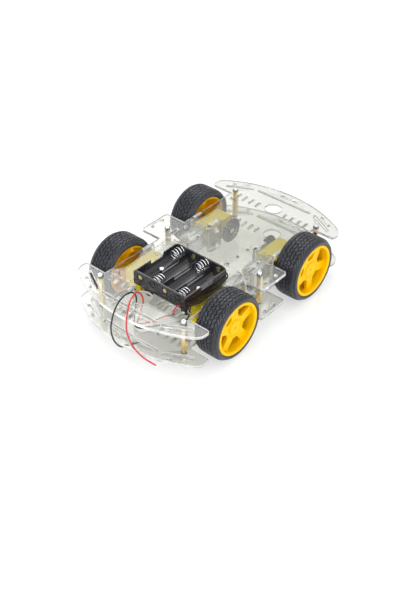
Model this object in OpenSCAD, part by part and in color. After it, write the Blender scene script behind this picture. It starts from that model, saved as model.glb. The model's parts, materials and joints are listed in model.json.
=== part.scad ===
// Four wheel robot chassis: two clear acrylic decks on brass standoffs, four geared
// motors with push-on wheels, and an open tray for four cells with two bare leads.
// +X is forward, +Y is left, +Z is up. The origin is on the ground, under the decks'
// centre. A motor's parts are drawn for the front left corner, about its axle height,
// and turned by half a turn about X, Y or Z to the other three corners.

/* [Decks] */
// Length of both decks
deck_l = 256; // [250:1:262]
// Width across the rounded ends
deck_w = 153; // [151:0.5:156]
// Thickness of the acrylic
deck_t = 3; // [2.8:0.1:3]
// Height of the lower deck's underside
lower_z = 15.3; // [14.5:0.1:16]
// Length of the standoffs between the decks
deck_gap = 30; // [30:0.5:31]
// Radius of the rounded ends
end_r = 135.6; // [132:0.2:140]

/* [Wheels] */
// Outer diameter of a tyre
wheel_d = 65; // [64.6:0.1:66]
// Width of a tyre
tyre_w = 26.6; // [26:0.1:27]
// Diameter of the rim's bright outer ring
rim_d = 53.2; // [52.4:0.2:54]
// Distance between front and rear axles
wheelbase = 114.6; // [114:0.2:115]
// Distance from the centreline to a wheel's outer face
wheel_face = 80; // [79.6:0.1:81]

/* [Motors] */
// Distance from the centreline to a gearbox's middle
box_y = 39.9; // [39.9:0.1:40]
// Thickness of a gearbox
box_t = 18.8; // [18.8:0.1:19]
// Height of a gearbox
box_h = 22.5; // [22.5:0.1:23]
// Diameter of the output shaft
shaft_d = 5.4; // [5.2:0.05:5.4]
// Width across the shaft's flats
shaft_flat = 3.7; // [3.6:0.05:3.8]
// Diameter of a motor can
can_d = 20.1; // [19.8:0.1:20.3]
// Thickness of a motor can across its flats
can_flat = 15.4; // [15:0.1:15.6]
// Number of slots in an encoder disc
disc_slots = 20; // [16:1:24]
// Diameter of an encoder disc
disc_d = 26; // [24:0.5:27]

/* [Battery tray] */
// Length of the tray along the cells
tray_l = 57.2; // [56.8:0.1:58]
// Width of the tray across the cells
tray_w = 62; // [61.6:0.1:63]
// Height of the tray's end walls
tray_h = 15.2; // [14.8:0.1:16]
// Diameter of a lead
lead_d = 1.5; // [1.3:0.1:1.5]

/* [Hardware] */
// Width across a standoff's flats
standoff_af = 5.5; // [5:0.1:5.5]
// Diameter of the screws' threads
screw_d = 3; // [2.9:0.05:3]
// Radius of the clearance holes for those screws
hole_r = 1.6; // [1.58:0.01:1.7]

/* [Hidden] */
$fn = 48;

axle_x = wheelbase / 2;
axle_z = wheel_d / 2;
upper_z = lower_z + deck_t + deck_gap;
deck_top = upper_z + deck_t;

// Decks
notch_x = [18.2, 92.2];      // wheel notches along the deck
notch_y = 51.7;              // inner edge of the notches
tab_y = 75.7;                // outer edge of the middle tabs
tip_r = 12;                  // rounding of the ends' outer corners
end_slot_x = 114;            // long slot across each end
slot_t = 3;                  // width of every long slot, for a 3 mm sheet
bracket_x = 37.2;            // middle of the motor brackets
bracket_ys = [27.5, 49.3];   // inner faces of the two brackets
bracket_w = 19;
bracket_tab = 11;
slot_gap = 0.1;              // clearance round a bracket's tab
standoff_at = [[98.5, 51.5], [-98.5, 51.5], [98.5, -51.5], [-98.5, -51.5], [0, 57.7], [0, -57.7]];
tray_at = [-57.4, -10.4];    // middle of the battery tray

// Gearbox, measured from the axle along X and from the centreline along Y
gear_m = 0.5;                // gear module
pin_x = axle_x - 12.25;      // pin of the crown gear and the third gear
box_x0 = 31;                 // motor end
box_x1 = axle_x + 11.1;      // output end
wall = 1.5;
box_in = box_y - box_t / 2;
box_out = box_y + box_t / 2;
mount_x = 36.65;             // through holes for the bracket screws
mount_dz = 8.75;
boss_at = [axle_x + 8.1, 8.6];
pin_r = 1;
run_gap = 0.06;              // running clearance of a shaft in its hole

// Cells lie along X in four bays
bay_pitch = 15.1;
tray_floor = 2.7;             // under the middle of each trough
bay_ys = [for (i = [-1.5 : 1.5]) tray_at[1] + i * bay_pitch];
spring_ends = [-1, 1, -1, 1];    // which end wall each bay's spring stands at
trough_r = 7.3;               // each bay is a trough for a cell of 14.5 mm
contact_z = deck_top + tray_floor + trough_r;

// Routes of the leads: out of the tray, down through the upper
// deck, forward again between the decks, up through the large hole and over the end
red_route = [
    [-85.3, -35.5, 54.2], [-88.6, -35.1, 54.4], [-91.2, -34.3, 52.9], [-92.2, -34, 49.6], [-92.3, -33.6, 45],
    [-93.1, -22.9, 37.5], [-96, -14.6, 30.5], [-99.8, -5.9, 25], [-102.6, 0.7, 22.8], [-101.7, 2.2, 25.2],
    [-100.2, 0.6, 31], [-98.1, -0.3, 38.5], [-96.7, -0.9, 45], [-96.7, -0.9, 50.5], [-97.9, 0.1, 55.4],
    [-100.7, 1.7, 58.6], [-106.7, 0.3, 59.7], [-115, -3, 59], [-122, -7.5, 56.5], [-127.5, -11, 53.2],
    [-130.4, -13, 47.5], [-131, -13.8, 40], [-130.8, -16.5, 32], [-129.5, -21, 23.5], [-127, -30, 16],
    [-123, -40, 11],
];
black_route = [
    [-27.5, -33, 61.3], [-27.4, -36.5, 60.6], [-27.3, -39.8, 59.2], [-28, -42.3, 57.4], [-31, -43.3, 55.8],
    [-38, -43.6, 54], [-48, -44.2, 52.7], [-60, -44.6, 52.4], [-70, -44.9, 53], [-76, -45, 54.6],
    [-80.6, -45, 55.6], [-83.1, -45, 53.4], [-83.5, -45, 49.8], [-84.5, -44.3, 42.5], [-85.3, -39.3, 37],
    [-88.8, -29.8, 31], [-94.7, -18.6, 26], [-99.6, -9.3, 22.3], [-103.7, -0.5, 20.3], [-104.1, 4.1, 22],
    [-102.4, 5.2, 28], [-100.4, 5.6, 36.5], [-99, 5.4, 44.5], [-99.2, 5.1, 51], [-101.6, 5.4, 56.2],
    [-105, 6, 58.4], [-111, 5.8, 60], [-118, 5, 59.5], [-124.4, 3.8, 57], [-129.2, 3, 52.4], [-132, 3, 46],
    [-133.8, 3.4, 37], [-133.4, 3, 27.5], [-131, 1.8, 19], [-127, 0.4, 12.8], [-120, -2.5, 10],
    [-111, -7, 9.6],
];

acrylic = [0.86, 0.9, 0.92, 0.45];
yellow = [0.98, 0.8, 0.05];
box_yellow = [0.95, 0.85, 0.3];
steel = [0.75, 0.76, 0.78];
brass = [0.8, 0.66, 0.3];
black = [0.08, 0.08, 0.09];

// ---- Placing ----

// The four corners, in the order front left, front right, rear left, rear right
corners = [[0, 0, 0], [180, 0, 0], [0, 180, 0], [0, 0, 180]];

module at_corner(i) { translate([0, 0, axle_z]) rotate(corners[i]) children(); }

module at_corners() { for (i = [0 : 3]) at_corner(i) children(); }

// Both signs of X and Y, for sheet parts that are the same either way up
module in_quarters() { for (sx = [0, 1], sy = [0, 1]) mirror([sx, 0, 0]) mirror([0, sy, 0]) children(); }

// Stands a shape drawn along Z along Y instead, from y on
module along_y(x, y) { translate([x, y, 0]) rotate([-90, 0, 0]) children(); }

module along_x(x, y) { translate([x, y, 0]) rotate([90, 0, 90]) children(); }

// ---- Decks ----

function arc(centre, r, a0, a1, n) =
    [for (i = [0 : n]) centre + r * [cos(a0 + (a1 - a0) * i / n), sin(a0 + (a1 - a0) * i / n)]];

// The outline's quarter with both coordinates positive, from the end to the middle tab
function deck_quarter() = let (
        end_c = deck_l / 2 - end_r,
        tip_y = deck_w / 2 - tip_r,
        tip_a = asin(tip_y / (end_r - tip_r)),
        tip_x = end_c + (end_r - tip_r) * cos(tip_a))
    concat(
        arc([end_c, 0], end_r, tip_a / 18, tip_a, 17),
        arc([tip_x, tip_y], tip_r, tip_a + 8, 90, 6),
        arc([notch_x[1] + 3, deck_w / 2 - 3], 3, 90, 180, 4),
        [[notch_x[1], notch_y], [notch_x[0], notch_y], [notch_x[0], tab_y - 2], [notch_x[0] - 2, tab_y]]);

function scaled(pts, sx, sy) = [for (p = pts) [sx * p[0], sy * p[1]]];

function reversed(pts) = [for (i = [len(pts) - 1 : -1 : 0]) pts[i]];

module deck_outline() {
    quarter = deck_quarter();
    half = concat(quarter, reversed(scaled(quarter, -1, 1)));
    polygon(concat(half, scaled(half, -1, -1)));
}

// A slot of the given length and width, centred at a point and turned
module slot_at(at, length, width, turn = 0) {
    translate(at) rotate(turn) square([length, width], center = true);
}

module deck_cuts() {
    in_quarters() {
        for (p = [[115.5, 47], [108, 60], [122, 7], [83.5, 45], [13, 45.3], [7.25, 71]])
            translate(p) circle(r = hole_r, $fn = 24);
        for (y = [17, 25.5, 34, 42]) slot_at([92.5, y], 9, 2.2);
        slot_at([106.5, 51.5], 29.5, slot_t, -61.7);
        slot_at([bracket_x, bracket_ys[0] + deck_t / 2], bracket_tab + 2 * slot_gap, deck_t + 2 * slot_gap);
        slot_at([bracket_x, bracket_ys[1] + 2.4], bracket_tab + 2 * slot_gap, 5);
    }
    for (s = [-1, 1]) {
        slot_at([s * end_slot_x, 0], slot_t, 66);
        slot_at([0, s * 48.5], bracket_tab, slot_t);
        translate([s * 96.5, 0]) circle(r = 9);
    }
    for (p = standoff_at) translate(p) circle(r = hole_r, $fn = 24);
}

module deck(z) {
    translate([0, 0, z]) linear_extrude(deck_t) difference() {
        deck_outline();
        deck_cuts();
    }
}

// The upper deck also has the row of small holes for a controller board, and the tray's
module upper_deck() {
    color(acrylic) difference() {
        deck(upper_z);
        for (x = [-22, -7, 8, 23], y = [-25, 25]) translate([x, y, upper_z - 1]) cylinder(r = hole_r, h = 5, $fn = 24);
        for (y = [bay_ys[0], bay_ys[3]]) translate([tray_at[0], y, upper_z - 1]) cylinder(r = hole_r, h = 5, $fn = 24);
    }
}

module lower_deck() {
    color(acrylic) difference() {
        deck(lower_z);
        for (x = [-8, 8], y = [-25, 25]) translate([x, y, lower_z - 1]) cylinder(r = hole_r, h = 5, $fn = 24);
    }
}

// ---- Screws, nuts and standoffs ----

// A pan-head screw with its head's underside at z = 0 and its thread below
module screw(length, d = screw_d, head_d = 5.6, head_h = 2) {
    difference() {
        rotate_extrude() polygon([
            [0, -length], [d / 2 - 0.35, -length], [d / 2 - 0.05, -length + 0.4], [d / 2 - 0.05, 0],
            [head_d / 2, 0], [head_d / 2, head_h * 0.45], [head_d / 2 - 0.35, head_h * 0.78],
            [head_d / 2 - 1, head_h], [0, head_h]]);
        for (a = [0, 90]) rotate(a) translate([-head_d * 0.28, -0.3, head_h * 0.45]) cube([head_d * 0.56, 0.6, head_h]);
    }
}

module standoffs() {
    color(brass) for (p = standoff_at) translate([p[0], p[1], lower_z + deck_t]) difference() {
        cylinder(d = standoff_af / cos(30), h = deck_gap, $fn = 6);
        for (z = [-1, deck_gap - 8]) translate([0, 0, z]) cylinder(d = screw_d, h = 9, $fn = 24);
    }
}

module standoff_screws() {
    color(steel) for (p = standoff_at) {
        translate([p[0], p[1], deck_top]) screw(9);
        translate([p[0], p[1], lower_z]) mirror([0, 0, 1]) screw(9);
    }
}

// ---- Motor brackets ----

module bracket(y) {
    half_w = bracket_w / 2;
    half_tab = bracket_tab / 2;
    z0 = lower_z + deck_t;
    translate([bracket_x, y + deck_t, 0]) rotate([90, 0, 0]) linear_extrude(deck_t) difference() {
        polygon([
            [-half_tab, lower_z], [half_tab, lower_z], [half_tab, z0], [half_w, z0], [half_w, upper_z],
            [half_tab, upper_z], [half_tab, deck_top], [-half_tab, deck_top], [-half_tab, upper_z],
            [-half_w, upper_z], [-half_w, z0], [-half_tab, z0]]);
        for (s = [-1, 1]) translate([mount_x - bracket_x, axle_z + s * mount_dz]) circle(r = hole_r, $fn = 24);
    }
}

module motor_brackets() { color(acrylic) in_quarters() for (y = bracket_ys) bracket(y); }

module bracket_screws() {
    color(steel) at_corners() for (s = [-1, 1])
        translate([0, 0, s * mount_dz]) along_y(mount_x, bracket_ys[1] + deck_t) screw(30);
}

module bracket_nuts() {
    color(steel) at_corners() for (s = [-1, 1])
        translate([0, 0, s * mount_dz]) along_y(mount_x, bracket_ys[0] - 2.4) difference() {
            cylinder(d = 5.5 / cos(30), h = 2.4, $fn = 6);
            translate([0, 0, -1]) cylinder(d = screw_d, h = 5, $fn = 24);
        }
}

// ---- Wheels ----

tyre_r = wheel_d / 2;
seat_r = rim_d / 2 - 1.4;
tyre_y = wheel_face - tyre_w;

module tyre() {
    half = tyre_w / 2;
    color(black) along_y(axle_x, tyre_y + half) rotate_extrude($fn = 96) polygon([
        [seat_r + 0.03, -half + 1.6], [seat_r + 1.5, -half + 1.2], [seat_r + 1.9, -half], [seat_r + 3.4, -half],
        [tyre_r - 1.9, -half + 1.1], [tyre_r - 0.7, -half + 2.6], [tyre_r - 0.25, -half + 5],
        [tyre_r - 0.1, -4.6], [tyre_r - 1.2, -4.4], [tyre_r - 1.2, -3.6], [tyre_r, -3.4],
        [tyre_r, 3.4], [tyre_r - 1.2, 3.6], [tyre_r - 1.2, 4.4], [tyre_r - 0.1, 4.6],
        [tyre_r - 0.25, half - 5], [tyre_r - 0.7, half - 2.6], [tyre_r - 1.9, half - 1.1],
        [seat_r + 3.4, half], [seat_r + 1.9, half], [seat_r + 1.5, half - 1.2], [seat_r + 0.03, half - 1.6]]);
}

rim_in = 2.2;                // the rim's inner edge lies this far inside the tyre, clear of the screw heads
rim_well = 5;                // depth of the spokes' face below the outer ring
web_t = 2.6;
hub_r = 7;
barrel_r = seat_r - 1.8;
windows = 5;

// One window: narrow by the hub and wide by the barrel, so that the spokes keep one width
module rim_window() {
    polygon([[11.6, -2.8], [20.6, -9.3], [21.8, -8.4], [23, -4.3], [23.4, 0], [23, 4.3], [21.8, 8.4], [20.6, 9.3],
             [11.6, 2.8]]);
}

module rim(turn) {
    color(yellow) along_y(axle_x, tyre_y) difference() {
        rotate(turn) union() {
            rotate_extrude($fn = 96) polygon([
                [barrel_r, rim_in], [seat_r, rim_in],
                [seat_r, tyre_w - 1.5], [rim_d / 2 - 0.6, tyre_w - 1.3], [rim_d / 2, tyre_w - 0.6],
                [rim_d / 2 - 0.5, tyre_w], [rim_d / 2 - 2.6, tyre_w], [barrel_r - 0.2, tyre_w - 1.2],
                [barrel_r, tyre_w - rim_well]]);
            difference() {
                rotate_extrude($fn = 96) polygon([
                    [0, tyre_w - rim_well - web_t], [barrel_r + 0.5, tyre_w - rim_well - web_t],
                    [barrel_r + 0.5, tyre_w - rim_well], [hub_r + 3, tyre_w - rim_well + 0.6],
                    [hub_r + 2.2, tyre_w - rim_well - 0.3], [hub_r + 0.5, tyre_w - rim_well - 0.3],
                    [hub_r, tyre_w - rim_well + 1], [0, tyre_w - rim_well + 1]]);
                for (i = [0 : windows - 1]) rotate(i * 360 / windows)
                    translate([0, 0, tyre_w - rim_well - web_t - 1]) linear_extrude(web_t + 4) rim_window();
            }
            cylinder(r = 5.2, h = tyre_w - rim_well);
            for (i = [0 : windows - 1]) rotate((i + 0.5) * 360 / windows)
                translate([4, -0.9, 8]) cube([barrel_r - 3.6, 1.8, tyre_w - rim_well - web_t - 7.9]);
        }
        translate([0, 0, -1]) intersection() {
            cylinder(d = shaft_d + 0.1, h = 6.6);
            translate([-5, -shaft_flat / 2 - 0.05, 0]) cube([10, shaft_flat + 0.1, 6.6]);
        }
        translate([0, 0, 5]) cylinder(r = 1.2, h = 30, $fn = 24);
    }
}

// ---- Encoder disc and output shaft ----

shaft_ends = [21.45, tyre_y + 5];

module shaft_bar(y0, y1, gap = 0) {
    along_y(axle_x, y0) intersection() {
        cylinder(d = shaft_d + 2 * gap, h = y1 - y0);
        translate([-5, -shaft_flat / 2 - gap, 0]) cube([10, shaft_flat + 2 * gap, y1 - y0]);
    }
}

module encoder_disc() {
    color([0.2, 0.2, 0.22]) difference() {
        union() {
            along_y(axle_x, 22.4) linear_extrude(1.2) difference() {
                circle(d = disc_d, $fn = 64);
                for (i = [0 : disc_slots - 1]) rotate((i + 0.5) * 360 / disc_slots)
                    translate([disc_d * 0.29, -0.75]) square([disc_d * 0.16, 1.5]);
            }
            along_y(axle_x, 21.9) cylinder(r = 4.4, h = 4);
        }
        shaft_bar(21, 27, 0.05);
    }
}

// Straight-flanked thin teeth, which mesh with play at every angle
function gear_points(teeth, turn) = let (r = gear_m * teeth / 2, tip = r + 0.85 * gear_m,
        root = r - 1.15 * gear_m, a_root = 50.4 * gear_m / root, a_tip = 18 * gear_m / tip)
    [for (i = [0 : teeth - 1], c = [[-a_root, root], [-a_tip, tip], [a_tip, tip], [a_root, root]])
        c[1] * [cos(i * 360 / teeth + turn + c[0]), sin(i * 360 / teeth + turn + c[0])]];

module gear(teeth, y0, y1, x, bore, turn = 0) {
    along_y(x, y0) linear_extrude(y1 - y0) difference() {
        polygon(gear_points(teeth, turn));
        circle(r = bore, $fn = 12);
    }
}

core_r = 1.7;                // the shaft's thin middle, where the second gear turns on it
output_y = box_out - wall - 0.2;    // outer face of the output gear

module output_shaft() {
    color([0.92, 0.92, 0.9]) difference() {
        union() {
            shaft_bar(shaft_ends[0], box_in - 0.2);
            along_y(axle_x, box_in - 0.2) cylinder(d = shaft_d, h = wall + 0.3);
            along_y(axle_x, box_in) cylinder(r = core_r, h = box_t - 2);
            gear(output_teeth, output_y - 2.1, output_y, axle_x, 1, 180 / output_teeth);
            along_y(axle_x, output_y - 0.1) cylinder(d = shaft_d, h = wall + 0.5);
            shaft_bar(box_out, shaft_ends[1]);
        }
        for (y = [shaft_ends[0] - 1, shaft_ends[1] - 5]) along_y(axle_x, y) cylinder(r = 0.7, h = 6, $fn = 16);
    }
}

// ---- Gear train: rotor pinion, crown gear, second gear, third gear, output gear ----

rotor_teeth = 9;
crown_teeth = 25;
pinion_teeth = 14;
spur_teeth = 35;
third_pinion_teeth = 13;
output_teeth = 36;
crown_y = box_in + wall + 5.1;      // flat face that the crown teeth stand on

module crown_gear() {
    color([0.95, 0.95, 0.92]) {
        gear(pinion_teeth, box_in + wall + 0.2, crown_y - 1.8, pin_x, pin_r + run_gap);
        along_y(pin_x, crown_y - 1.9) linear_extrude(1.9) difference() {
            circle(r = 7.1, $fn = 12 * 4);
            circle(r = pin_r + run_gap, $fn = 12);
        }
        along_y(pin_x, crown_y - 0.1) for (i = [0 : crown_teeth - 1]) rotate(i * 360 / crown_teeth)
            translate([5.5, 0, 0]) rotate([90, 0, 90]) linear_extrude(1.5)
                polygon([[-0.36, 0], [0.36, 0], [0.14, 0.95], [-0.14, 0.95]]);
    }
}

module second_gear() {
    color([0.95, 0.95, 0.92]) {
        gear(spur_teeth, box_in + wall + 0.2, box_in + wall + 2.6, axle_x, core_r + run_gap);
        gear(pinion_teeth, box_in + wall + 2.5, output_y - 2.5, axle_x, core_r + run_gap, 180 / pinion_teeth);
    }
}

module third_gear() {
    color([0.95, 0.95, 0.92]) {
        along_y(pin_x, crown_y + 1.2) linear_extrude(6) difference() {
            circle(r = 1.9, $fn = 12);
            circle(r = pin_r + run_gap, $fn = 12);
        }
        gear(spur_teeth, output_y - 4.6, output_y - 2.6, pin_x, pin_r + run_gap);
        gear(third_pinion_teeth, output_y - 2.7, output_y, pin_x, pin_r + run_gap);
    }
}

module gear_pins() {
    color(steel) at_corners() along_y(pin_x, box_in + 0.7) cylinder(r = pin_r, h = box_t - 1.4);
}

// ---- Gearbox shells ----

// Side view of the gearbox: square at the motor end, rounded at the output end
module box_outline(inset = 0, r = 4) {
    h = box_h / 2 - inset;
    x1 = box_x1 - inset;
    polygon(concat([[box_x0 + inset, -h]], arc([x1 - r, r - h], r, 270, 360, 5), arc([x1 - r, h - r], r, 0, 90, 5),
                   [[box_x0 + inset, h]]));
}

// Half of the gearbox between y0 and y1, hollow from c0 to c1
module box_half(y0, y1, c0, c1, screw_r) {
    difference() {
        union() {
            difference() {
                along_y(0, y0) linear_extrude(y1 - y0) box_outline();
                along_y(0, c0) linear_extrude(c1 - c0) box_outline(wall - 0.2, 1.2);
            }
            for (s = [-1, 1]) {
                translate([0, 0, s * mount_dz]) along_y(mount_x, y0) cylinder(r = 2.5, h = y1 - y0);
                translate([0, 0, s * boss_at[1]]) along_y(boss_at[0], y0) cylinder(r = 2.1, h = y1 - y0, $fn = 32);
            }
        }
        for (s = [-1, 1]) {
            translate([0, 0, s * mount_dz]) along_y(mount_x, y0 - 1) cylinder(r = hole_r, h = y1 - y0 + 2, $fn = 24);
            translate([0, 0, s * boss_at[1]]) along_y(boss_at[0], y0 - 1) cylinder(r = screw_r, h = y1 - y0 + 2, $fn = 24);
        }
        along_y(axle_x, y0 - 1) cylinder(d = shaft_d + 0.1, h = y1 - y0 + 2);
        along_y(pin_x, box_in + 0.6) cylinder(r = pin_r + 0.03, h = box_t - 1.2);
        along_x(box_x0 - 1, box_y) cylinder(r = 3.15, h = 4);
    }
}

module gearbox_outer() {
    color(box_yellow) {
        box_half(box_y, box_out, box_y - 1, box_out - wall, 1.1);
        along_y(0, box_y) linear_extrude(3) difference() {
            translate([box_x1 - 1, -4]) square([6, 8]);
            translate([box_x1 + 2.2, 0]) circle(r = hole_r, $fn = 24);
        }
        strap_nubs(box_y, box_y + 2.4);
    }
}

module gearbox_inner() {
    color(box_yellow) {
        box_half(box_in, box_y, box_in + wall, box_y + 1, 0.95);
        strap_nubs(box_y - 2.4, box_y);
    }
}

// Small lugs on top and bottom that the motor strap hooks over
module strap_nubs(y0, y1) {
    for (s = [-1, 1]) translate([box_x0 + 1.6, y0, s * (box_h / 2 + 0.5) - 0.7]) cube([2, y1 - y0, 1.4]);
}

module gearbox_screws() {
    color(steel) at_corners() for (s = [-1, 1])
        translate([0, 0, s * boss_at[1]]) along_y(boss_at[0], box_out) screw(16, 1.9, 3.6, 1.3);
}

// ---- Motor ----

can_x = [8, 31];             // rear and front of the steel can
cap_x = 5.9;                 // rear face of the end cap

module can_outline(inset = 0) {
    intersection() {
        circle(r = can_d / 2 - inset);
        square([can_flat - 2 * inset, 30], center = true);
    }
}

module motor_cans() {
    color(steel) at_corners() difference() {
        union() {
            along_x(can_x[0], box_y) linear_extrude(can_x[1] - can_x[0]) can_outline();
            along_x(can_x[1] - 0.1, box_y) cylinder(r = 3.05, h = 1.6);
        }
        along_x(can_x[0] - 1, box_y) linear_extrude(can_x[1] - can_x[0]) can_outline(0.8);
        along_x(can_x[1] - 2, box_y) cylinder(r = 1 + run_gap, h = 5);
    }
}

module motor_end_caps() {
    color([0.9, 0.9, 0.86]) at_corners() difference() {
        union() {
            along_x(cap_x, box_y) linear_extrude(can_x[0] - cap_x) can_outline();
            along_x(cap_x + 1, box_y) linear_extrude(2.4) can_outline(0.85);
            along_x(3.4, box_y) cylinder(r = 3, h = 3);
        }
        along_x(3, box_y) cylinder(r = 1 + run_gap, h = 8);
        for (s = [-1, 1]) translate([cap_x - 1, box_y - 1.3, s * 7.6 - 0.3]) cube([6, 2.6, 0.6]);
    }
}

module motor_terminals() {
    color(brass) at_corners() for (s = [-1, 1]) translate([0, box_y - 1.25, s * 7.6 - 0.25]) difference() {
        translate([1.9, 0, 0]) cube([7.4, 2.5, 0.5]);
        translate([3.2, 1.25, -1]) cylinder(r = 0.6, h = 3, $fn = 16);
    }
}

module motor_magnets() {
    color([0.3, 0.3, 0.32]) at_corners() along_x(12, box_y) linear_extrude(15) difference() {
        intersection() {
            circle(r = can_d / 2 - 0.85);
            square([can_flat - 2.6, 30], center = true);
        }
        circle(r = 7);
        square([30, 7], center = true);
    }
}

module rotor() {
    color([0.6, 0.45, 0.3]) {
        along_x(2.9, box_y) cylinder(r = 1, h = 36.1, $fn = 32);
        along_x(10.6, box_y) cylinder(r = 2.2, h = 2.6, $fn = 32);
        along_x(14.5, box_y) linear_extrude(10) difference() {
            circle(r = 6.6);
            for (i = [0 : 2]) rotate(i * 120) translate([4.3, 0]) square([3.4, 5], center = true);
            for (i = [0 : 2]) rotate(i * 120) translate([6, 0]) square([3, 1.2], center = true);
        }
        along_x(37.7, box_y) linear_extrude(2.6) polygon(gear_points(rotor_teeth, 180 / rotor_teeth));
    }
}

// A springy band: over the gearbox's lugs, along the can and round its end cap
strap_w = 8.6;

module motor_straps() {
    top = box_h / 2;
    color([0.9, 0.92, 0.93, 0.6]) at_corners() difference() {
        translate([cap_x - 0.9, box_y - strap_w / 2, -top - 0.8]) cube([box_x0 + 6 - cap_x, strap_w, 2 * top + 1.6]);
        translate([cap_x - 0.05, box_y - strap_w, -top - 0.05]) cube([60, 2 * strap_w, 2 * top + 0.1]);
        along_x(0, box_y) cylinder(r = 3.3, h = 10);
        translate([box_x0 + 1.4, box_y - 2.6, -20]) cube([2.4, 5.2, 40]);
        for (s = [-1, 1]) translate([0, box_y - 1.6, s * 7.6 - 0.6]) cube([10, 3.2, 1.2]);
    }
}

// ---- Battery tray ----

tray_wall = 1.4;
tray_in = tray_l / 2 - tray_wall;
recess_r = 3.8;              // round recess behind each rivet and spring
recess_t = 0.8;
seat_z = tray_floor - 0.2;   // flat seats for the screws, sunk in the troughs

// End wall with its top corners cut off round, standing across the cells
module tray_end(x) {
    r = 5;
    w = tray_w / 2;
    translate([x, tray_at[1], deck_top]) rotate([90, 0, 90]) linear_extrude(tray_wall)
        polygon(concat([[-w, 0], [w, 0]], arc([w - r, tray_h - r], r, 0, 90, 6),
                       arc([r - w, tray_h - r], r, 90, 180, 6)));
}

// A block along the cells between y0 and y1: tall at both ends, low from x0 to x1 for lifting cells out
module tray_block(y0, y1, high, low, x0, x1) {
    half = tray_l / 2 - 0.5;
    translate([tray_at[0], tray_at[1] + y1, deck_top]) rotate([90, 0, 0]) linear_extrude(y1 - y0)
        polygon([[-half, 0], [half, 0], [half, high], [x1 + 2, high], [x1, low], [x0, low], [x0, high], [-half, high]]);
}

// The room of one bay: a half-round trough, open above
module trough(y) {
    translate([tray_at[0], y, contact_z]) rotate([90, 0, 90]) linear_extrude(2 * tray_in, center = true) {
        circle(r = trough_r);
        translate([-trough_r, 0]) square([2 * trough_r, tray_h]);
    }
}

module battery_tray() {
    inner = 2 * bay_pitch;
    color(black) difference() {
        union() {
            tray_block(-inner, inner, tray_h - 4.2, 7.1, -8, 14);
            for (s = [0, 1]) translate([0, 2 * tray_at[1] * s, 0]) mirror([0, s, 0])
                tray_block(inner - 1.2, tray_w / 2, tray_h - 2.2, 8.9, -6, 10);
            for (s = [-1, 1]) tray_end(tray_at[0] + s * (tray_l - tray_wall) / 2 - tray_wall / 2);
        }
        for (i = [0 : 3]) {
            trough(bay_ys[i]);
            for (s = [0, 1]) translate([tray_at[0], bay_ys[i], contact_z]) mirror([s, 0, 0]) rotate([0, 90, 0]) {
                translate([0, 0, tray_in + tray_wall - recess_t]) linear_extrude(1) difference() {
                    circle(r = recess_r);
                    if (spring_ends[i] == 1 - 2 * s) circle(r = 2.3);
                }
                cylinder(r = spring_ends[i] == 1 - 2 * s ? 0.6 : 1.3, h = tray_l, $fn = 24);
            }
        }
        for (y = [bay_ys[0], bay_ys[3]]) translate([tray_at[0], y, deck_top]) {
            translate([0, 0, -1]) cylinder(r = hole_r, h = 5, $fn = 24);
            translate([0, 0, seat_z]) cylinder(r = 3.1, h = 3);
        }
        translate(red_route[0]) rotate([0, 90, 0]) cylinder(r = lead_d / 2 + 0.2, h = 4, center = true, $fn = 24);
    }
}

// Rivets through the end walls: a button that touches the cell, and a rolled tail outside
module battery_contacts() {
    color(brass) for (i = [0 : 3]) translate([tray_at[0], bay_ys[i], contact_z])
        mirror([1 + spring_ends[i], 0, 0]) rotate([0, 90, 0]) {
            translate([0, 0, tray_in - 0.9]) cylinder(r = 2.6, h = 0.9, $fn = 32);
            translate([0, 0, tray_in - 0.1]) cylinder(r = 1.25, h = tray_wall, $fn = 24);
            translate([0, 0, tray_in + tray_wall - recess_t]) cylinder(r = 2.1, h = recess_t, $fn = 24);
        }
}

module battery_screws() {
    color(steel) for (y = [bay_ys[0], bay_ys[3]])
        translate([tray_at[0], y, deck_top + seat_z]) screw(8);
}

// ---- Swept tubes ----

function unit(v) = v / norm(v);

function tangent(pts, i) = unit(pts[min(i + 1, len(pts) - 1)] - pts[max(i - 1, 0)]);

// A direction across the tube, carried from ring to ring so that the tube doesn't twist
function side(pts, i) = i == 0
    ? unit(cross(tangent(pts, 0), [0.3, 0.2, 0.9]))
    : let (t = tangent(pts, i), last = side(pts, i - 1)) unit(last - (last * t) * t);

function ring(centre, t, s, r, n) = let (u = cross(t, s))
    [for (k = [0 : n - 1]) centre + r * (cos(k * 360 / n) * s + sin(k * 360 / n) * u)];

module tube(pts, r, n = 8) {
    last = len(pts) - 1;
    points = [for (i = [0 : last]) each ring(pts[i], tangent(pts, i), side(pts, i), r, n)];
    polyhedron(points, concat(
        [[for (k = [0 : n - 1]) k]],
        [for (i = [0 : last - 1], k = [0 : n - 1])
            [i * n + k, (i + 1) * n + k, (i + 1) * n + (k + 1) % n, i * n + (k + 1) % n]],
        [[for (k = [n - 1 : -1 : 0]) last * n + k]]), convexity = 10);
}

// A smooth curve through the points, with one more point halfway along each stretch
function halfway(pts, i) = let (a = pts[max(i - 1, 0)], b = pts[i], c = pts[i + 1],
        d = pts[min(i + 2, len(pts) - 1)]) (9 * b + 9 * c - a - d) / 16;

function smooth(pts) = [for (i = [0 : len(pts) - 1]) each i < len(pts) - 1 ? [pts[i], halfway(pts, i)] : [pts[i]]];

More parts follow.
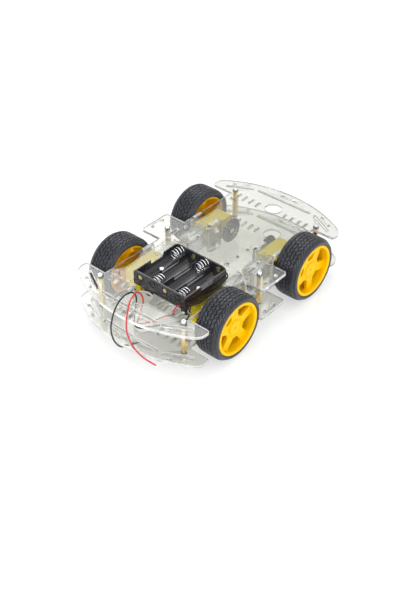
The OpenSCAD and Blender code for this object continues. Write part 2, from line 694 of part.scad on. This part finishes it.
// Each spring runs out from the hole in its wall and round towards the cell, tapering
module battery_springs() {
    turns = 3.5;
    steps = 12;
    depth = 11.5;
    coil = [for (j = [0 : turns * steps]) let (f = j / (turns * steps), r = 4.9 - 0.7 * f, a = 90 + j * 360 / steps)
        [-0.7 - depth * f, r * cos(a), r * sin(a)]];
    color(steel) for (i = [0 : 3]) translate([tray_at[0], bay_ys[i], contact_z])
        mirror([1 - spring_ends[i], 0, 0]) translate([tray_in, 0, 0])
            tube(concat([[tray_wall - recess_t, 0, 0], [0.1, 0, 0], [-0.5, 0, 0.4], [-0.65, 0, 1.2]], coil), 0.45, 6);
}

module lead_red() { color([0.85, 0.1, 0.1]) tube(smooth(red_route), lead_d / 2); }

module lead_black() { color([0.1, 0.1, 0.1]) tube(smooth(black_route), lead_d / 2); }

// ---- Parts ----

upper_deck();
lower_deck();
standoffs();
standoff_screws();
motor_brackets();
bracket_screws();
bracket_nuts();
at_corner(0) tyre();  // front_left_tyre
at_corner(1) tyre();  // front_right_tyre
at_corner(2) tyre();  // rear_left_tyre
at_corner(3) tyre();  // rear_right_tyre
at_corner(0) rim(30);  // front_left_rim
at_corner(1) rim(21);  // front_right_rim
at_corner(2) rim(10);  // rear_left_rim
at_corner(3) rim(19);  // rear_right_rim
at_corner(0) encoder_disc();  // front_left_encoder_disc
at_corner(1) encoder_disc();  // front_right_encoder_disc
at_corner(2) encoder_disc();  // rear_left_encoder_disc
at_corner(3) encoder_disc();  // rear_right_encoder_disc
at_corner(0) output_shaft();  // front_left_output_shaft
at_corner(1) output_shaft();  // front_right_output_shaft
at_corner(2) output_shaft();  // rear_left_output_shaft
at_corner(3) output_shaft();  // rear_right_output_shaft
at_corner(0) gearbox_outer();  // front_left_gearbox_outer
at_corner(1) gearbox_outer();  // front_right_gearbox_outer
at_corner(2) gearbox_outer();  // rear_left_gearbox_outer
at_corner(3) gearbox_outer();  // rear_right_gearbox_outer
at_corner(0) gearbox_inner();  // front_left_gearbox_inner
at_corner(1) gearbox_inner();  // front_right_gearbox_inner
at_corner(2) gearbox_inner();  // rear_left_gearbox_inner
at_corner(3) gearbox_inner();  // rear_right_gearbox_inner
at_corner(0) rotor();  // front_left_rotor
at_corner(1) rotor();  // front_right_rotor
at_corner(2) rotor();  // rear_left_rotor
at_corner(3) rotor();  // rear_right_rotor
at_corner(0) crown_gear();  // front_left_crown_gear
at_corner(1) crown_gear();  // front_right_crown_gear
at_corner(2) crown_gear();  // rear_left_crown_gear
at_corner(3) crown_gear();  // rear_right_crown_gear
at_corner(0) second_gear();  // front_left_second_gear
at_corner(1) second_gear();  // front_right_second_gear
at_corner(2) second_gear();  // rear_left_second_gear
at_corner(3) second_gear();  // rear_right_second_gear
at_corner(0) third_gear();  // front_left_third_gear
at_corner(1) third_gear();  // front_right_third_gear
at_corner(2) third_gear();  // rear_left_third_gear
at_corner(3) third_gear();  // rear_right_third_gear
gear_pins();
gearbox_screws();
motor_cans();
motor_end_caps();
motor_magnets();
motor_terminals();
motor_straps();
battery_tray();
battery_springs();
battery_contacts();
battery_screws();
lead_red();
lead_black();
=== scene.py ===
"""Looks of the four wheel robot chassis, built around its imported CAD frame."""
import json
import math

import bmesh
import bpy
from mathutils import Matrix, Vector


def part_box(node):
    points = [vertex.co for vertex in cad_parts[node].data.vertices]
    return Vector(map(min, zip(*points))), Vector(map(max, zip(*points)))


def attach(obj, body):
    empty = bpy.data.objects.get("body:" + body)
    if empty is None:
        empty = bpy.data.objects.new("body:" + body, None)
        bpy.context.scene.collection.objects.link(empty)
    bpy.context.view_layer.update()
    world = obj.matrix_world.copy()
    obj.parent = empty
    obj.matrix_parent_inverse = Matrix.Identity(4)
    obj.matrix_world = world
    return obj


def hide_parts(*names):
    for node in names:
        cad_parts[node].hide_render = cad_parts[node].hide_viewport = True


MM = 0.001
CORNERS = {"front_left": (1, 1), "front_right": (1, -1), "rear_left": (-1, 1), "rear_right": (-1, -1)}

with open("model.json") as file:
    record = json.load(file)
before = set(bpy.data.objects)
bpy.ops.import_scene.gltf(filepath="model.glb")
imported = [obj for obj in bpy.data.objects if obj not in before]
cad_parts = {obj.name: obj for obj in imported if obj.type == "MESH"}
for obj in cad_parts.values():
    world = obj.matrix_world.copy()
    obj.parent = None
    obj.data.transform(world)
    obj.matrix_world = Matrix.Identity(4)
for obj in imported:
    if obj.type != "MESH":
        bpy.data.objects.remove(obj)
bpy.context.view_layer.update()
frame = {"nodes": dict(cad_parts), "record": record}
nodes = frame["nodes"]


def middle(node):
    low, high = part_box(node)
    return (low + high) / 2


# ---- Small helpers ----

def new_object(name, mesh, body, replaces=()):
    """A finished piece that rides on a body."""
    obj = bpy.data.objects.new(name, mesh)
    bpy.context.scene.collection.objects.link(obj)
    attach(obj, body)
    if replaces:
        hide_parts(*replaces)
    return obj


def mesh_from(bm, name, material=None, smooth=True):
    """Turns a bmesh into mesh data with outward normals."""
    bmesh.ops.recalc_face_normals(bm, faces=bm.faces)
    mesh = bpy.data.meshes.new(name)
    bm.to_mesh(mesh)
    bm.free()
    if smooth:
        mesh.polygons.foreach_set("use_smooth", [True] * len(mesh.polygons))
    if material:
        mesh.materials.append(material)
    return mesh


def smooth_path(points):
    """The points with one more halfway along each stretch, as the CAD tube has them."""
    pts = [Vector(p) for p in points]
    last = len(pts) - 1
    out = []
    for i in range(last):
        a, b, c, d = pts[max(i - 1, 0)], pts[i], pts[i + 1], pts[min(i + 2, last)]
        out += [b, (9 * b + 9 * c - a - d) / 16]
    return out + [pts[last]]


def sweep(bm, points, radius, sides):
    """A closed tube along the points, with no twist."""
    pts = [Vector(p) for p in points]
    last = len(pts) - 1
    side = None
    rings = []
    for i, p in enumerate(pts):
        along = (pts[min(i + 1, last)] - pts[max(i - 1, 0)]).normalized()
        if side is None:
            side = along.cross(Vector((0.3, 0.2, 0.9))).normalized()
        side = (side - along * side.dot(along)).normalized()
        other = along.cross(side)
        rings.append([bm.verts.new(p + radius * (math.cos(a) * side + math.sin(a) * other))
                      for a in (k * 2 * math.pi / sides for k in range(sides))])
    for low, high in zip(rings, rings[1:]):
        for k in range(sides):
            n = (k + 1) % sides
            bm.faces.new((low[k], high[k], high[n], low[n]))
    bm.faces.new(rings[0])
    bm.faces.new(reversed(rings[-1]))


# ---- Materials ----

def material(name, color, roughness=0.5, metallic=0.0, **sockets):
    """A Principled material. The rest are Principled sockets by name."""
    mat = bpy.data.materials.new(name)
    mat.use_nodes = True
    shader = mat.node_tree.nodes["Principled BSDF"]
    shader.inputs["Base Color"].default_value = (*color, 1)
    shader.inputs["Roughness"].default_value = roughness
    shader.inputs["Metallic"].default_value = metallic
    for key, value in sockets.items():
        shader.inputs[key.replace("_", " ")].default_value = value
    return mat


def node(mat, kind, **values):
    made = mat.node_tree.nodes.new(kind)
    for key, value in values.items():
        if key in made.inputs:
            made.inputs[key].default_value = value
        else:
            setattr(made, key, value)
    return made


def link(mat, a, out, b, into):
    mat.node_tree.links.new(a.outputs[out], b.inputs[into])


def shader_of(mat):
    return mat.node_tree.nodes["Principled BSDF"]


def add_grain(mat, scale, bump, rough=(0.0, 0.0), tint=None, stretch=(1, 1, 1), detail=4.0, distance=0.0002):
    """Noise in the object's own space, for bump, roughness and colour."""
    coord = node(mat, "ShaderNodeTexCoord")
    mapping = node(mat, "ShaderNodeMapping")
    mapping.inputs["Scale"].default_value = stretch
    noise = node(mat, "ShaderNodeTexNoise", Scale=scale, Detail=detail)
    link(mat, coord, "Object", mapping, "Vector")
    link(mat, mapping, "Vector", noise, "Vector")
    shader = shader_of(mat)
    if bump:
        made = node(mat, "ShaderNodeBump", Strength=bump, Distance=distance)
        link(mat, noise, "Fac", made, "Height")
        link(mat, made, "Normal", shader, "Normal")
    if rough[1]:
        span = node(mat, "ShaderNodeMapRange")
        span.inputs["To Min"].default_value = rough[0]
        span.inputs["To Max"].default_value = rough[1]
        link(mat, noise, "Fac", span, "Value")
        link(mat, span, "Result", shader, "Roughness")
    if tint:
        ramp = node(mat, "ShaderNodeValToRGB")
        ramp.color_ramp.elements[0].position = 0.35
        ramp.color_ramp.elements[1].position = 0.65
        ramp.color_ramp.elements[0].color = (*tint[0], 1)
        ramp.color_ramp.elements[1].color = (*tint[1], 1)
        link(mat, noise, "Fac", ramp, "Fac")
        link(mat, ramp, "Color", shader, "Base Color")
    return noise


def make_materials():
    m = {}
    m["acrylic"] = material("acrylic_face", (0.77, 0.78, 0.73), 0.02, Transmission_Weight=1.0, IOR=1.49)
    m["acrylic_edge"] = material("acrylic_cut_edge", (0.86, 0.87, 0.86), 0.35, Transmission_Weight=0.55,
                                 IOR=1.2)
    # Near-white and opaque, for the rounding along the plates' edges: a painted highlight line.
    m["acrylic_line"] = material("acrylic_painted_highlight", (0.95, 0.95, 0.94), 0.3)
    m["tyre"] = material("tyre_rubber", (0.03, 0.031, 0.04), 0.4)
    # The rubber's colour runs to lighter streaks at random: painted highlights standing in for glints.
    add_grain(m["tyre"], 700, 0.6, (0.22, 0.5), ((0.012, 0.013, 0.018), (0.06, 0.062, 0.075)),
              stretch=(1, 2.5, 1))
    # The rubber down in the grooves and sipes is darker: painted shade in the recesses.
    m["tyre_cut"] = material("tyre_sipe_painted_shade", (0.006, 0.006, 0.008), 0.8)
    m["rim"] = material("rim_yellow", (0.9, 0.54, 0.0), 0.35, Specular_IOR_Level=0.1)
    add_grain(m["rim"], 350, 0.06, (0.28, 0.4), ((0.88, 0.52, 0.0), (0.92, 0.56, 0.0)))
    m["box"] = material("gearbox_yellow", (1.0, 0.8, 0.004), 0.38, Specular_IOR_Level=0.15)
    add_grain(m["box"], 500, 0.08, (0.34, 0.46), ((0.98, 0.77, 0.003), (1.0, 0.83, 0.006)))
    m["tray"] = material("tray_black", (0.014, 0.014, 0.017), 0.26, Specular_IOR_Level=0.7)
    add_grain(m["tray"], 700, 0.05, (0.2, 0.32), ((0.011, 0.011, 0.014), (0.017, 0.017, 0.02)))
    m["disc"] = material("disc_black", (0.06, 0.06, 0.058), 0.5)
    add_grain(m["disc"], 600, 0.1, (0.45, 0.6))
    m["nylon"] = material("nylon", (0.85, 0.84, 0.78), 0.45)
    add_grain(m["nylon"], 500, 0.05, (0.4, 0.5))
    m["brass"] = material("brass", (0.86, 0.68, 0.36), 0.25, 1.0)
    add_grain(m["brass"], 260, 0.05, (0.18, 0.34), ((0.8, 0.6, 0.28), (0.92, 0.76, 0.46)), stretch=(6, 6, 0.6))
    m["steel"] = material("zinc_steel", (0.72, 0.73, 0.75), 0.25, 1.0)
    add_grain(m["steel"], 300, 0.05, (0.16, 0.34))
    m["can"] = material("can_steel", (0.68, 0.69, 0.7), 0.28, 1.0)
    add_grain(m["can"], 60, 0.04, (0.2, 0.36), stretch=(1, 20, 20))
    m["spring"] = material("spring_steel", (0.8, 0.8, 0.82), 0.15, 1.0)
    add_grain(m["spring"], 800, 0.03, (0.1, 0.22))
    m["contact"] = material("contact_plate", (0.72, 0.58, 0.3), 0.25, 1.0)
    add_grain(m["contact"], 500, 0.05, (0.2, 0.34))
    m["cap"] = material("cap_plastic", (0.8, 0.79, 0.72), 0.5)
    add_grain(m["cap"], 500, 0.08, (0.42, 0.56))
    m["magnet"] = material("magnet_ferrite", (0.06, 0.06, 0.065), 0.6, 0.3)
    add_grain(m["magnet"], 900, 0.2, (0.5, 0.7))
    m["rotor"] = material("rotor_steel", (0.5, 0.3, 0.2), 0.4, 0.9)
    add_grain(m["rotor"], 400, 0.1, (0.3, 0.5), stretch=(20, 1, 1))
    m["terminal"] = material("terminal_copper", (0.78, 0.42, 0.22), 0.28, 1.0)
    add_grain(m["terminal"], 500, 0.05, (0.2, 0.36))
    m["strap"] = material("strap_clear", (0.9, 0.92, 0.9), 0.3, Transmission_Weight=0.85, IOR=1.2)
    add_grain(m["strap"], 300, 0.04, (0.12, 0.26))
    m["red"] = material("lead_red", (0.56, 0.03, 0.045), 0.36)
    add_grain(m["red"], 900, 0.05, (0.3, 0.44), ((0.52, 0.026, 0.04), (0.6, 0.036, 0.052)))
    m["black"] = material("lead_black", (0.012, 0.012, 0.014), 0.36)
    add_grain(m["black"], 900, 0.05, (0.3, 0.44))
    m["floor"] = material("floor", (0.5, 0.5, 0.5), 0.9, Specular_IOR_Level=0.0, Emission_Color=(1, 1, 1, 1),
                          Emission_Strength=0.52)
    return m


M = make_materials()

# The material of each slot in the record
SLOT_MATERIALS = {
    "clear_acrylic": "acrylic", "standoff_brass": "brass", "screw_steel": "steel", "tyre_rubber": "tyre",
    "rim_yellow": "rim", "disc_black": "disc", "shaft_nylon": "nylon", "gear_nylon": "nylon",
    "gearbox_yellow": "box", "can_steel": "can", "cap_plastic": "cap", "magnet_ferrite": "magnet",
    "rotor_steel": "rotor", "terminal_copper": "terminal", "strap_clear": "strap", "tray_black": "tray",
    "spring_steel": "spring", "contact_brass": "contact", "lead_red": "red", "lead_black": "black",
}


# Width in millimetres of the rounding that the moulded and turned parts have on their edges
ROUNDED = {
    "clear_acrylic": 0.3, "gearbox_yellow": 0.4, "tray_black": 0.2, "rim_yellow": 0.2, "screw_steel": 0.12,
    "standoff_brass": 0.15, "contact_brass": 0.15, "cap_plastic": 0.2, "disc_black": 0.12, "can_steel": 0.3,
}


def dress_cad_nodes():
    """Every CAD node gets its slot's material, and the slots in ROUNDED get slightly rounded edges."""
    for part in frame["record"]["subparts"]:
        obj = nodes[part["node"]]
        slot = part["material_slot"]
        obj.data.materials.clear()
        obj.data.materials.append(M[SLOT_MATERIALS[slot]])
        if slot == "clear_acrylic":
            obj.data.materials.append(M["acrylic_edge"])
            obj.data.materials.append(M["acrylic_line"])
            across = 1 if part["node"] == "motor_brackets" else 2
            for face in obj.data.polygons:
                face.material_index = int(abs(face.normal[across]) < 0.7)
        if slot in ROUNDED:
            weld = obj.modifiers.new("weld", "WELD")
            weld.merge_threshold = 1e-6
            bevel = obj.modifiers.new("edges", "BEVEL")
            bevel.width = ROUNDED[slot] * MM
            bevel.segments = 2
            bevel.limit_method = "ANGLE"
            bevel.angle_limit = math.radians(38)
            bevel.harden_normals = True
            if slot == "clear_acrylic":
                bevel.segments = 1
                # The rounding takes the near-white edge material, a painted highlight along each plate edge.
                bevel.material = 2


# ---- Camera, light and floor ----

def make_camera():
    azimuth, elevation = math.radians(-49.11), math.radians(38.59)
    back = Vector((math.sin(azimuth) * math.cos(elevation), -math.cos(azimuth) * math.cos(elevation),
                   math.sin(elevation)))
    cam = bpy.data.objects.new("camera", bpy.data.cameras.new("camera"))
    bpy.context.scene.collection.objects.link(cam)
    cam.location = (-0.5616, -0.4717, 0.5745)
    cam.rotation_mode = "QUATERNION"
    cam.rotation_quaternion = (-back).to_track_quat("-Z", "Y")
    cam.data.lens = 56.38
    cam.data.sensor_width = 36
    cam.data.clip_start = 0.05
    bpy.context.scene.camera = cam


def area_light(name, place, size, power, color=(1, 1, 1)):
    light = bpy.data.lights.new(name, "AREA")
    light.shape = "RECTANGLE"
    light.size, light.size_y = size
    light.energy = power
    light.color = color
    obj = bpy.data.objects.new(name, light)
    bpy.context.scene.collection.objects.link(obj)
    obj.location = place
    obj.rotation_mode = "QUATERNION"
    obj.rotation_quaternion = (Vector((0, 0, 0.03)) - Vector(place)).to_track_quat("-Z", "Y")


def make_stage():
    scene = bpy.context.scene
    scene.view_settings.view_transform = "Standard"
    scene.cycles.max_bounces = 24
    scene.cycles.transmission_bounces = 24
    scene.cycles.diffuse_bounces = 5
    scene.cycles.transparent_max_bounces = 24
    world = bpy.data.worlds.new("studio")
    scene.world = world
    world.use_nodes = True
    tree = world.node_tree
    background = tree.nodes["Background"]
    background.inputs["Color"].default_value = (1, 1, 1, 1)
    # A bright patch of the studio behind the object, which the decks reflect towards the camera
    azimuth, elevation = math.radians(49), math.radians(46)
    coord = tree.nodes.new("ShaderNodeTexCoord")
    toward = tree.nodes.new("ShaderNodeVectorMath")
    toward.operation = "DOT_PRODUCT"
    flat = math.cos(elevation)
    toward.inputs[1].default_value = (math.cos(azimuth) * flat, math.sin(azimuth) * flat, math.sin(elevation))
    glow = tree.nodes.new("ShaderNodeMapRange")
    glow.interpolation_type = "SMOOTHSTEP"
    glow.inputs["From Min"].default_value = math.cos(math.radians(18))
    glow.inputs["From Max"].default_value = math.cos(math.radians(6))
    glow.inputs["To Min"].default_value = 0.85
    glow.inputs["To Max"].default_value = 3.7
    tree.links.new(coord.outputs["Generated"], toward.inputs[0])
    tree.links.new(toward.outputs["Value"], glow.inputs["Value"])
    tree.links.new(glow.outputs["Result"], background.inputs["Strength"])
    area_light("overhead", (0.1, 0.1, 1.7), (1.5, 1.5), 8.0)
    area_light("front", (-0.5, -1.1, 0.7), (0.7, 0.7), 5.0)
    area_light("rear_side", (-1.1, 0.1, 0.5), (0.8, 0.6), 4.5)
    bm = bmesh.new()
    bmesh.ops.create_grid(bm, x_segments=1, y_segments=1, size=4)
    floor = bpy.data.objects.new("floor", mesh_from(bm, "floor", M["floor"], smooth=False))
    scene.collection.objects.link(floor)


# ---- Leads ----

LEAD_RADIUS = 0.74 * MM          # a little inside the CAD tube

RED_ROUTE = [
    (-85.3, -35.5, 54.2), (-88.6, -35.1, 54.4), (-91.2, -34.3, 52.9), (-92.2, -34, 49.6), (-92.3, -33.6, 45),
    (-93.1, -22.9, 37.5), (-96, -14.6, 30.5), (-99.8, -5.9, 25), (-102.6, 0.7, 22.8), (-101.7, 2.2, 25.2),
    (-100.2, 0.6, 31), (-98.1, -0.3, 38.5), (-96.7, -0.9, 45), (-96.7, -0.9, 50.5), (-97.9, 0.1, 55.4),
    (-100.7, 1.7, 58.6), (-106.7, 0.3, 59.7), (-115, -3, 59), (-122, -7.5, 56.5), (-127.5, -11, 53.2),
    (-130.4, -13, 47.5), (-131, -13.8, 40), (-130.8, -16.5, 32), (-129.5, -21, 23.5), (-127, -30, 16),
    (-123, -40, 11),
]
BLACK_ROUTE = [
    (-27.5, -33, 61.3), (-27.4, -36.5, 60.6), (-27.3, -39.8, 59.2), (-28, -42.3, 57.4), (-31, -43.3, 55.8),
    (-38, -43.6, 54), (-48, -44.2, 52.7), (-60, -44.6, 52.4), (-70, -44.9, 53), (-76, -45, 54.6),
    (-80.6, -45, 55.6), (-83.1, -45, 53.4), (-83.5, -45, 49.8), (-84.5, -44.3, 42.5), (-85.3, -39.3, 37),
    (-88.8, -29.8, 31), (-94.7, -18.6, 26), (-99.6, -9.3, 22.3), (-103.7, -0.5, 20.3), (-104.1, 4.1, 22),
    (-102.4, 5.2, 28), (-100.4, 5.6, 36.5), (-99, 5.4, 44.5), (-99.2, 5.1, 51), (-101.6, 5.4, 56.2),
    (-105, 6, 58.4), (-111, 5.8, 60), (-118, 5, 59.5), (-124.4, 3.8, 57), (-129.2, 3, 52.4), (-132, 3, 46),
    (-133.8, 3.4, 37), (-133.4, 3, 27.5), (-131, 1.8, 19), (-127, 0.4, 12.8), (-120, -2.5, 10), (-111, -7, 9.6),
]


def make_lead(name, route, node_name, mat):
    """A lead along its route, which part.scad has in millimetres too."""
    path = smooth_path([Vector(p) * MM for p in route])
    bm = bmesh.new()
    sweep(bm, smooth_path(path), LEAD_RADIUS, 12)
    lead = new_object(name, mesh_from(bm, name, mat), "chassis", [node_name])
    smooth_path(path)


# ---- Tyres ----

def tread_mesh():
    """A tyre about the Y axis: slanted blocks cut by sipes, between zigzag grooves that run round it."""
    blocks = 84
    steps = (0.0, 0.1, 0.32, 0.42, 0.72)      # a sipe's bottom lies from the second to the third
    columns = blocks * len(steps)
    tyre_r, tread_half, leg = 32.5, 11.2, 3.5
    shoulder = 7.2                            # the outermost grooves, beyond which the sipes curl
    grooves = (-shoulder, -3.4, 0.0, 3.4, shoulder)
    groove_depth, sipe_depth, shallow_sipe = 1.0, 0.8, 0.35

    def crown(v):
        over = max(0.0, abs(v) - 8.0)
        return tyre_r - 0.1 * (abs(v) / 8) ** 2 - 0.13 * over ** 2

    def shear(v):
        """How far a sipe has moved round the tyre at this width: straight legs, curling at the shoulders."""
        zig = abs(((v + leg) % (2 * leg)) - leg)
        return 1.1 * zig + (0.28 * (abs(v) - shoulder) ** 2 if abs(v) > shoulder else 0)

    edges = sorted([g + s * w for g in grooves for s in (-1, 1) for w in (0.28, 0.5)])
    stops = [-tread_half, *edges, tread_half]
    rows = []                                 # width, groove depth and rib number, None in a groove
    for k, (a, b) in enumerate(zip(stops, stops[1:])):
        kind = k % 4                          # rib, wall, groove bottom, wall
        if kind == 0:
            strips = 5
            rows += [(a + (b - a) * i / strips, 0.0, k // 4) for i in range(strips + 1)]
        elif kind == 1:
            rows += [(b, groove_depth, None), (stops[k + 2], groove_depth, None)]

    bm = bmesh.new()
    inner = [(-11.7, 25.25), (-12.1, 26.75), (-13.3, 27.15), (-13.3, 28.3), (-13.1, 28.9), (-13.3, 29.4),
             (-12.6, 30.3)]                   # one sidewall's profile: width and radius
    outer = [(-v, r) for v, r in reversed(inner)]
    grid = []                                 # (radius, width, extra angle, whether it is cut) round each ring
    for v, r in inner:
        grid.append([(r, v, 0.0, False)] * columns)
    for v, depth, rib in rows:
        line = []
        for u in range(columns):
            block, part = divmod(u, len(steps))
            wave = 0.3 * (1 if block % 2 else -1) if abs(v) < tread_half - 1 else 0
            cut = depth > 0
            r = crown(v) - depth
            if rib is not None and part in (1, 2) and (block + rib) % 3 != 2:
                r -= sipe_depth
                cut = True
            elif rib is not None and part in (1, 2):
                r -= shallow_sipe
            line.append((r, v + wave, shear(v) / tyre_r, cut))
        grid.append(line)
    for v, r in outer:
        grid.append([(r, v, 0.0, False)] * columns)
    verts, cuts = [], []
    for line in grid:
        row = []
        for u, (r, v, turn, cut) in enumerate(line):
            block, part = divmod(u, len(steps))
            a = 2 * math.pi * (block + steps[part]) / blocks + turn
            row.append(bm.verts.new((r * MM * math.cos(a), v * MM, r * MM * math.sin(a))))
        verts.append(row)
        cuts.append([point[3] for point in line])
    count = len(verts)
    for i in range(count):
        low, high = verts[i], verts[(i + 1) % count]
        for u in range(columns):
            n = (u + 1) % columns
            face = bm.faces.new((low[u], high[u], high[n], low[n]))
            deep = cuts[i][u] + cuts[i][n] + cuts[(i + 1) % count][u] + cuts[(i + 1) % count][n]
            # Faces with three or more corners down in a cut take the darker rubber, which is painted shade.
            face.material_index = int(deep >= 3)
    mesh = mesh_from(bm, "tyre_tread", M["tyre"], smooth=False)
    mesh.materials.append(M["tyre_cut"])
    return mesh


def make_tyres():
    """All four tyres share one mesh."""
    mesh = tread_mesh()
    for name in CORNERS:
        tyre = bpy.data.objects.new(f"{name}_tread", mesh)
        bpy.context.scene.collection.objects.link(tyre)
        tyre.location = middle(f"{name}_tyre")
        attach(tyre, f"{name}_wheel")
        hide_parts(f"{name}_tyre")


# ---- Battery springs ----

def make_springs():
    """Each spring comes out of the hole in its end wall and runs round towards the cell, tapering."""
    tray_low, tray_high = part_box("battery_tray")
    tray_mid = (tray_low + tray_high) / 2
    pitch, wall, wire_r, coil_r, taper = 15.1, 1.4, 0.45, 4.9, 0.7
    contact_z = tray_low.z + 10 * MM
    face_x = tray_high.x - tray_mid.x - wall * MM
    turns, steps, depth = 3.5, 28, 11.5
    bm = bmesh.new()
    for i, end in enumerate((-1, 1, -1, 1)):
        face = Vector((tray_mid.x + end * face_x, tray_mid.y + (i - 1.5) * pitch * MM, contact_z))
        points = [(0.6, 0, 0), (0.1, 0, 0), (-0.3, 0, 0.12), (-0.5, 0, 0.4), (-0.65, 0, 1.2), (-0.7, 0, 3)]
        for j in range(round(turns * steps) + 1):
            f = j / (turns * steps)
            r = coil_r - taper * f
            a = math.pi / 2 + 2 * math.pi * j / steps
            points.append((-0.7 - depth * f, r * math.cos(a), r * math.sin(a)))
        sweep(bm, [face + Vector((end * x, y, z)) * MM for x, y, z in points], wire_r * MM, 10)
    new_object("cell_springs", mesh_from(bm, "cell_springs", M["spring"]), "chassis",
               ["battery_springs"])


# ---- Building ----

make_camera()
make_stage()
dress_cad_nodes()
make_lead("red_lead", RED_ROUTE, "lead_red", M["red"])
make_lead("black_lead", BLACK_ROUTE, "lead_black", M["black"])
make_tyres()
make_springs()
